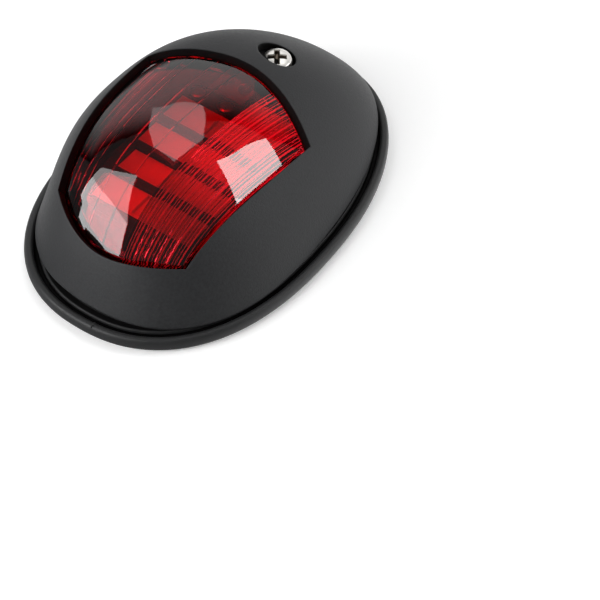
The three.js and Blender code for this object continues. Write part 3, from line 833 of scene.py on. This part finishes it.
# every CAD node gets its slot's finish, and those with crisp blocky shapes get softened edges
for entry in frame["record"]["subparts"]:
    obj = frame["nodes"][entry["node"]]
    finish = SLOT_FINISH[entry["material_slot"]]
    if obj.material_slots:
        for holder in obj.material_slots:
            holder.material = finish
    else:
        obj.data.materials.append(finish)
    if entry["node"] in SOFTENED:
        soft = obj.modifiers.new("soft_edges", "BEVEL")
        soft.width, soft.segments = 0.00012, 2
        soft.limit_method, soft.angle_limit = "ANGLE", math.radians(50)


def make_phosphor():
    """The yellow face of each LED, just proud of its package."""
    s = Surface()
    for i in range(4):
        led = frame["nodes"]["led_%d" % (i + 1)]
        box = np.array([led.matrix_world @ Vector(c) for c in led.bound_box]) / MM
        x, y = box[:, :2].mean(0)
        top = float(box[:, 2].max())
        turned(s, x, y, [(0, top - 0.05), (1.5, top - 0.05), (1.5, top + 0.1), (0, top + 0.1)], 48, 0.06)
    return s.build("led_phosphor", 30, closed=True)


place(make_phosphor(), "housing", "led_body", [LED_YELLOW])
place(make_cover(), "cover_unit", "cover_plastic", [CHARCOAL, SHADE_BLACK], "cover")
place(make_lens(), "cover_unit", "lens_red", [RED_LENS, FLUTE_RED, FLUTE_CLEAR], "lens")
place(make_base(), "housing", "housing_plastic", [], "base_plate")
place(make_cover_screw(), "cover_screw", "stainless", [STEEL, STEEL_RECESS_SHADE], "cover_screw")


# ---------------------------------------------------------------- studio

def direction(azimuth, elevation):
    a, e = math.radians(azimuth), math.radians(elevation)
    return np.array([math.cos(a) * math.cos(e), math.sin(a) * math.cos(e), math.sin(e)])


def softbox(name, corners, distance, strength, origin=(-10.0, 0.0, 27.0), middle=None):
    """A glowing panel whose corners lie in the given directions (azimuth from +X, elevation) from the lens.

    With a middle direction the glow fades out smoothly from there to the edges.
    """
    origin = np.array(origin) * MM
    pts = [origin + direction(*c) * distance for c in corners]
    pts = [np.array([p[0], p[1], max(p[2], 0.002)]) for p in pts]
    count = len(pts)
    faces = [tuple(range(count))]
    if middle:
        pts.append(origin + direction(*middle) * distance)
        faces = [(i, (i + 1) % count, count) for i in range(count)]
    mesh = bpy.data.meshes.new(name)
    mesh.from_pydata([p.tolist() for p in pts], [], faces)
    mesh.update()
    inward = mesh.attributes.new("inward", "FLOAT", "POINT")
    inward.data.foreach_set("value", [0.0] * count + [1.0] * (len(pts) - count))
    obj = bpy.data.objects.new(name, mesh)
    bpy.context.scene.collection.objects.link(obj)
    mat = bpy.data.materials.new(name)
    mat.use_nodes = True
    nt = mat.node_tree
    nt.nodes.remove(nt.nodes["Principled BSDF"])
    glow = nt.nodes.new("ShaderNodeEmission")
    glow.inputs["Color"].default_value = (1, 1, 1, 1)
    glow.inputs["Strength"].default_value = strength
    if middle:
        inner = nt.nodes.new("ShaderNodeAttribute")
        inner.attribute_name = "inward"
        fade = nt.nodes.new("ShaderNodeMapRange")
        fade.interpolation_type = "SMOOTHSTEP"
        fade.inputs["From Max"].default_value = 0.55
        fade.inputs["To Max"].default_value = strength
        nt.links.new(inner.outputs["Fac"], fade.inputs["Value"])
        nt.links.new(fade.outputs["Result"], glow.inputs["Strength"])
    nt.links.new(glow.outputs["Emission"], nt.nodes["Material Output"].inputs["Surface"])
    obj.data.materials.append(mat)
    obj.visible_camera = False
    return obj


softbox("softbox_back", [(40, 50), (-5, 52), (-35, 50), (-60, 65), (0, 80), (40, 65)], 0.9, 2.05)
softbox("softbox_behind", [(100, 0), (120, 25), (100, 60), (40, 65), (-25, 50), (-40, 25), (-40, 0)],
        1.1, 1.15, middle=(35, 25))
softbox("softbox_left_top", [(135, 25), (135, 40), (185, 70), (180, 25)], 0.8, 3.9)
softbox("softbox_left", [(130, 0), (135, 25), (180, 25), (170, 0)], 0.8, 7.2)
# a low card close to the window end of the lens
softbox("softbox_left_low", [(130, 8), (130, -7), (160, -4), (175, 0), (175, 8)], 0.07, 6.6,
        (-33.5, 4.0, 16.5))
softbox("softbox_right", [(-50, 40), (-40, 25), (-50, 10), (-65, 20)], 0.8, 8.0)
softbox("softbox_strip", [(-55, 30), (-60, 15), (-65, 20), (-58, 30)], 0.79, 12.0)

world = bpy.data.worlds.new("studio")
bpy.context.scene.world = world
world.use_nodes = True
wt = world.node_tree
back = wt.nodes["Background"]
back.inputs["Color"].default_value = (1, 1, 1, 1)
# a low glow along the horizon behind the light, over a dim studio
heading = wt.nodes.new("ShaderNodeTexCoord")
split = wt.nodes.new("ShaderNodeSeparateXYZ")
wt.links.new(heading.outputs["Generated"], split.inputs["Vector"])
low = wt.nodes.new("ShaderNodeMapRange")
low.inputs["From Min"].default_value, low.inputs["From Max"].default_value = 0.22, 0.06
wt.links.new(split.outputs["Z"], low.inputs["Value"])
behind = wt.nodes.new("ShaderNodeMapRange")
behind.inputs["From Min"].default_value, behind.inputs["From Max"].default_value = 0.1, 0.5
wt.links.new(split.outputs["X"], behind.inputs["Value"])
glow_level = wt.nodes.new("ShaderNodeMath")
glow_level.operation = "MULTIPLY"
wt.links.new(low.outputs["Result"], glow_level.inputs[0])
wt.links.new(behind.outputs["Result"], glow_level.inputs[1])
level = wt.nodes.new("ShaderNodeMath")
level.operation = "MULTIPLY_ADD"
level.inputs[1].default_value, level.inputs[2].default_value = 2.5, 0.16
wt.links.new(glow_level.outputs["Value"], level.inputs[0])
wt.links.new(level.outputs["Value"], back.inputs["Strength"])
seen = wt.nodes.new("ShaderNodeBackground")
seen.inputs["Color"].default_value = (0.98, 0.98, 0.98, 1)
seen.inputs["Strength"].default_value = 1.0
ray = wt.nodes.new("ShaderNodeLightPath")
blend_world = wt.nodes.new("ShaderNodeMixShader")
wt.links.new(ray.outputs["Is Camera Ray"], blend_world.inputs["Fac"])
wt.links.new(back.outputs["Background"], blend_world.inputs[1])
wt.links.new(seen.outputs["Background"], blend_world.inputs[2])
wt.links.new(blend_world.outputs["Shader"], wt.nodes["World Output"].inputs["Surface"])

floor_mesh = bpy.data.meshes.new("floor")
FLOOR_R, FLOOR_DROP = 4, 0.0004
circle = [(FLOOR_R * math.cos(a), FLOOR_R * math.sin(a), -FLOOR_DROP)
          for a in np.linspace(0, 2 * math.pi, 96, endpoint=False)]
floor_mesh.from_pydata(circle, [], [tuple(range(96))])
floor = bpy.data.objects.new("floor", floor_mesh)
bpy.context.scene.collection.objects.link(floor)
pale = bpy.data.materials.new("pale_floor")
pale.use_nodes = True
ft = pale.node_tree
white = ft.nodes["Principled BSDF"]
white.inputs["Base Color"].default_value = (0.92, 0.92, 0.92, 1)
white.inputs["Roughness"].default_value = 0.8
white.inputs["Emission Color"].default_value = (1, 1, 1, 1)
# far from the lamps the floor stays as pale as it is near them
spot = ft.nodes.new("ShaderNodeTexCoord")
away = ft.nodes.new("ShaderNodeVectorMath")
away.operation = "LENGTH"
lift = ft.nodes.new("ShaderNodeMapRange")
lift.inputs["From Min"].default_value, lift.inputs["From Max"].default_value = 0.12, 0.9
lift.inputs["To Min"].default_value, lift.inputs["To Max"].default_value = 0.25, 0.74
ft.links.new(spot.outputs["Object"], away.inputs[0])
ft.links.new(away.outputs["Value"], lift.inputs["Value"])
ft.links.new(lift.outputs["Result"], white.inputs["Emission Strength"])
# what the table throws back is brighter behind the light than at its window end
dim = ft.nodes.new("ShaderNodeEmission")
table = ft.nodes.new("ShaderNodeTexCoord")
across = ft.nodes.new("ShaderNodeVectorMath")
across.operation = "DOT_PRODUCT"
across.inputs[1].default_value = (1.0, 0.0, 0.0)
falloff = ft.nodes.new("ShaderNodeMapRange")
falloff.inputs["From Min"].default_value, falloff.inputs["From Max"].default_value = -0.055, -0.01
falloff.inputs["To Min"].default_value, falloff.inputs["To Max"].default_value = 0.12, 1.35
ft.links.new(table.outputs["Object"], across.inputs[0])
ft.links.new(across.outputs["Value"], falloff.inputs["Value"])
ft.links.new(falloff.outputs["Result"], dim.inputs["Strength"])
floor_ray = ft.nodes.new("ShaderNodeLightPath")
floor_mix = ft.nodes.new("ShaderNodeMixShader")
ft.links.new(floor_ray.outputs["Is Camera Ray"], floor_mix.inputs["Fac"])
ft.links.new(dim.outputs["Emission"], floor_mix.inputs[1])
ft.links.new(white.outputs["BSDF"], floor_mix.inputs[2])
ft.links.new(floor_mix.outputs["Shader"], ft.nodes["Material Output"].inputs["Surface"])
floor_mesh.materials.append(pale)

# camera: a long lens, from above and the inboard end of the near side
aim = np.array([-1.66, -23.42, -13.51]) * MM
towards = np.array([-0.5287, -0.3956, 0.7510])
towards = towards / np.linalg.norm(towards)
reach = 1.5
cam = bpy.data.cameras.new("camera")
cam.sensor_width = 36
cam.lens = 36 * reach / 0.12104
cam.clip_start, cam.clip_end = 0.01, 50
cam_obj = bpy.data.objects.new("camera", cam)
bpy.context.scene.collection.objects.link(cam_obj)
cam_obj.location = (aim + towards * reach).tolist()
cam_obj.rotation_euler = Vector((-towards).tolist()).to_track_quat("-Z", "Y").to_euler()
bpy.context.scene.camera = cam_obj
bpy.context.scene.view_settings.view_transform = "Standard"
